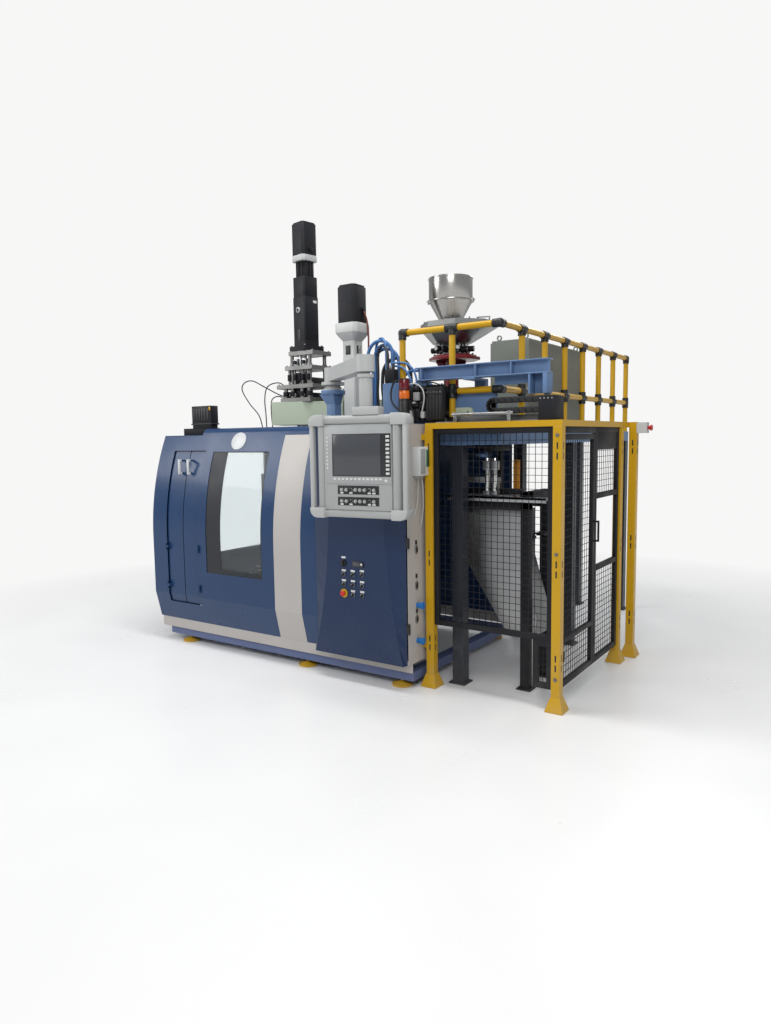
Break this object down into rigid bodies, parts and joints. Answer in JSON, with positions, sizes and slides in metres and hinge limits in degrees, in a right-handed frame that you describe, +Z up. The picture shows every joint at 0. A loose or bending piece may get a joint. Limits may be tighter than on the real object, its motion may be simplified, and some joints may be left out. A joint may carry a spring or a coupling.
{
  "type": "blow moulding machine",
  "caption": "Bulged machine casing with sliding window door, swivelling operator panel, extruder with hopper on top, raised railed platform and mesh guard.",
  "frame": {"origin": "centre of the sole of the guard's front corner foot, on the floor", "axes": "+X to the right along the machine's front, +Y away from the front, +Z up"},
  "size_m": [3.6985, 3.4501, 3.383],
  "materials": {
    "lavender_paint": "satin",
    "yellow_paint": "satin",
    "cream_paint": "satin",
    "blue_paint": "gloss",
    "dark_paint": "satin",
    "clear_pane": "clear",
    "black_plastic": "matte",
    "red_plastic": "gloss",
    "grey_plastic": "matte",
    "light_blue_paint": "satin",
    "grey_paint": "satin",
    "dark_plastic": "gloss",
    "mint_paint": "satin",
    "bare_steel": "brushed",
    "bright_steel": "polished",
    "black_paint": "satin",
    "bare_aluminium": "machined",
    "red_paint": "satin",
    "blue_rubber": "matte"
  },
  "bodies": {
    "machine": {"base_frame": "lavender_paint", "levelling_feet": "yellow_paint", "skirt": "cream_paint", "front_casing": "blue_paint", "stripe_panel": "cream_paint", "roof_panel": "blue_paint", "rear_casing": "blue_paint", "main_frame": "dark_paint", "control_cabinet": "cream_paint", "side_fittings": "grey_plastic", "pendant_bracket": "light_blue_paint", "extruder_frame": "mint_paint", "extruder_barrel": "bare_steel", "extruder_drive": "dark_paint", "extrusion_head": "bare_steel", "head_stack": "bare_steel", "actuator_body": "black_paint", "actuator_motor": "black_paint", "blow_column": "grey_paint", "blow_motor": "black_paint", "hopper": "bright_steel", "blender": "bare_steel", "feed_throat": "red_paint", "lifting_beam": "light_blue_paint", "platform": "light_blue_paint", "railing": "yellow_paint", "railing_joints": "black_plastic", "drive_cabinet": "grey_paint", "signal_light": "black_plastic", "energy_chain": "black_plastic", "valve_boxes": "black_plastic", "hoses": "blue_rubber", "guard_frame": "yellow_paint", "guard_mesh": "black_paint", "trim_station": "dark_paint", "guard_stop": "grey_plastic"},
    "front_door": {"front_door": "dark_paint", "front_window": "clear_pane"},
    "left_leaf": {"left_leaf": "blue_paint"},
    "right_leaf": {"right_leaf": "blue_paint"},
    "end_door": {"end_door": "blue_paint", "end_window": "clear_pane"},
    "control_door": {"control_door": "blue_paint", "switch_plates": "black_plastic"},
    "main_switch": {"main_switch": "black_plastic"},
    "stop_button": {"stop_button": "red_plastic"},
    "pendant_arm": {"pendant_arm": "grey_paint"},
    "operator_panel": {"panel_housing": "grey_paint", "panel_front": "grey_plastic", "panel_screen": "dark_plastic"},
    "extruder_screw": {"extruder_screw": "bright_steel"},
    "parison_rod": {"parison_rod": "bright_steel"},
    "blow_pins": {"blow_pins": "bright_steel"},
    "clamp_shuttle": {"clamp_shuttle": "dark_paint"},
    "front_half": {"front_platen": "bare_steel", "front_mould": "bare_aluminium"},
    "rear_half": {"rear_platen": "bare_steel", "rear_mould": "bare_aluminium"},
    "guard_door": {"guard_door": "black_paint"},
    "guard_button": {"guard_button": "red_plastic"}
  },
  "joints": [
    {"name": "front_door_slide", "type": "slide", "parent": "machine", "child": "front_door", "axis": [1, 0, 0], "range_m": [0, 0.42]},
    {"name": "left_leaf_hinge", "type": "hinge", "parent": "machine", "child": "left_leaf", "pos_m": [-3.279, -0.21, 0.64], "axis": [0, 0, -1], "range_deg": [0, 95]},
    {"name": "right_leaf_hinge", "type": "hinge", "parent": "machine", "child": "right_leaf", "pos_m": [-2.901, -0.21, 0.64], "axis": [0, 0, 1], "range_deg": [0, 95]},
    {"name": "end_door_hinge", "type": "hinge", "parent": "machine", "child": "end_door", "pos_m": [-3.475, 1.247, 1.1], "axis": [0, 0, -1], "range_deg": [0, 110]},
    {"name": "control_door_hinge", "type": "hinge", "parent": "machine", "child": "control_door", "pos_m": [-0.922, -0.207, 0.7], "axis": [0, 0, 1], "range_deg": [0, 18]},
    {"name": "main_switch_turn", "type": "hinge", "parent": "control_door", "child": "main_switch", "pos_m": [-1.418, -0.237, 0.822], "axis": [0, -1, 0], "range_deg": [-90, 0]},
    {"name": "stop_button_push", "type": "slide", "parent": "control_door", "child": "stop_button", "axis": [0, 1, 0], "range_m": [0, 0.006]},
    {"name": "pendant_arm_swing", "type": "hinge", "parent": "machine", "child": "pendant_arm", "pos_m": [-1.68, 0.02, 2.05], "axis": [0, 0, 1], "range_deg": [-60, 5]},
    {"name": "operator_panel_swivel", "type": "hinge", "parent": "pendant_arm", "child": "operator_panel", "pos_m": [-1.04532, -0.46701, 2.05], "axis": [0, 0, 1], "range_deg": [-25, 25]},
    {"name": "screw_turn", "type": "hinge", "parent": "machine", "child": "extruder_screw", "pos_m": [-1.77187, 0.74404, 1.878], "axis": [0.9135, 0.4067, 0], "continuous": true},
    {"name": "parison_rod_lift", "type": "slide", "parent": "machine", "child": "parison_rod", "axis": [0, 0, 1], "range_m": [0, 0.03]},
    {"name": "blow_pins_lower", "type": "slide", "parent": "machine", "child": "blow_pins", "axis": [0, 0, -1], "range_m": [0, 0.18]},
    {"name": "clamp_shuttle_travel", "type": "slide", "parent": "machine", "child": "clamp_shuttle", "axis": [1, 0, 0], "range_m": [0, 0.463]},
    {"name": "front_half_open", "type": "slide", "parent": "clamp_shuttle", "child": "front_half", "axis": [0, -1, 0], "range_m": [0, 0.12]},
    {"name": "rear_half_open", "type": "slide", "parent": "clamp_shuttle", "child": "rear_half", "axis": [0, 1, 0], "range_m": [0, 0.12]},
    {"name": "guard_door_hinge", "type": "hinge", "parent": "machine", "child": "guard_door", "pos_m": [0.024, 0.0415, 0.85], "axis": [0, 0, -1], "range_deg": [0, 110]},
    {"name": "guard_button_push", "type": "slide", "parent": "machine", "child": "guard_button", "axis": [-1, 0, 0], "range_m": [0, 0.006]}
  ],
  "couplings": [
    {"joint": "rear_half_open", "follows": "front_half_open", "ratio": 1}
  ]
}
